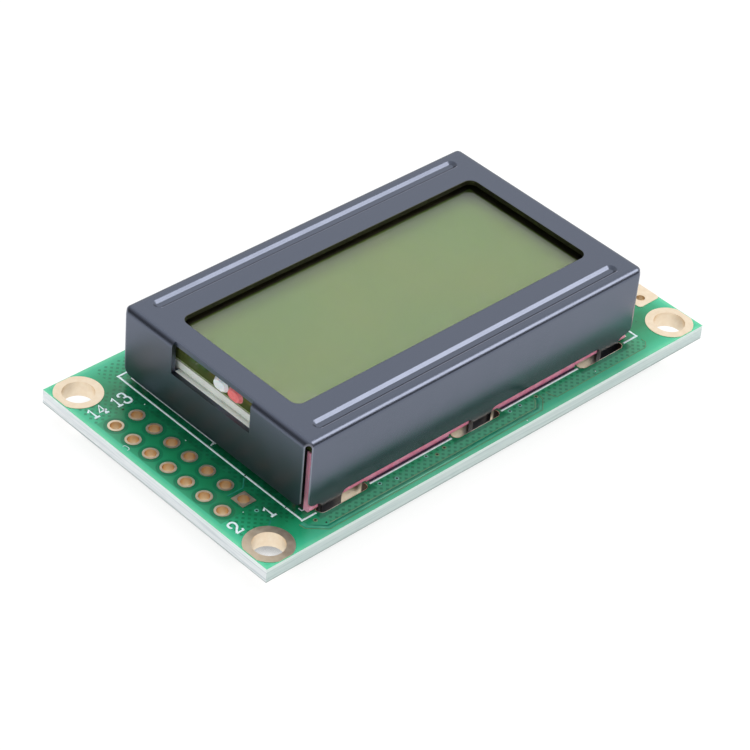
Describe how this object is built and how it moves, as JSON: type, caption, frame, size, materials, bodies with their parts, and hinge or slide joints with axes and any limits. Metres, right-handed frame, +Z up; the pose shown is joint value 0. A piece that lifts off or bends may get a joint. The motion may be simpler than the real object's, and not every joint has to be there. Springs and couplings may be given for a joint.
{
  "type": "character lcd module",
  "caption": "Character display module: green circuit board with a folded black steel bezel over a liquid crystal cell, rubber contact strips and a light box.",
  "frame": {"origin": "under the middle of the circuit board, at the tips of the bezel's twisted tabs, which the module stands on", "axes": "+X along the board from the solder pins to the far end, +Y across the board from pin 1 to pin 13, +Z up through the display"},
  "size_m": [0.058, 0.032, 0.0117],
  "materials": {
    "board_laminate": "green solder mask over glass-fibre laminate",
    "plating": "pale gold plating over copper",
    "bezel_paint": "satin black paint on folded steel sheet",
    "contact_rubber": "matt black conducting silicone",
    "pink_rubber": "pink translucent silicone",
    "cell_glass": "polished float glass",
    "front_film": "smooth film, yellow-green",
    "rear_film": "half-mirror film",
    "clear_adhesive": "clear cured adhesive",
    "red_adhesive": "red cured adhesive",
    "lamp_board_laminate": "plain laminate",
    "white_moulding": "white reflective moulding",
    "light_chip": "bare light-emitting chip",
    "frosted_film": "frosted film",
    "tinned_metal": "tinned",
    "solder": "smooth bright solder",
    "black_resin": "glossy black potting resin",
    "resistor_body": "black glaze on ceramic",
    "capacitor_body": "tan ceramic"
  },
  "bodies": {
    "root": {"circuit_board": "board_laminate", "mounting_hole_plating": "plating", "header_pad_plating": "plating", "slot_plating": "plating", "lamp_pad_plating": "plating", "lead_pad_plating": "plating", "bezel": "bezel_paint", "front_contact_core": "contact_rubber", "rear_contact_core": "contact_rubber", "front_contact_rubber": "pink_rubber", "rear_contact_rubber": "pink_rubber", "front_glass": "cell_glass", "rear_glass": "cell_glass", "front_polariser": "front_film", "rear_polariser": "rear_film", "clear_end_seal": "clear_adhesive", "dyed_end_seal": "red_adhesive", "lamp_board": "lamp_board_laminate", "reflector": "white_moulding", "light_chips": "light_chip", "diffuser": "frosted_film", "lamp_leads": "tinned_metal", "lead_solder": "solder", "controller_resin": "black_resin", "chip_resistors": "resistor_body", "resistor_end_caps": "tinned_metal", "resistor_solder": "solder", "chip_capacitors": "capacitor_body", "capacitor_end_caps": "tinned_metal", "capacitor_solder": "solder"}
  },
  "joints": []
}
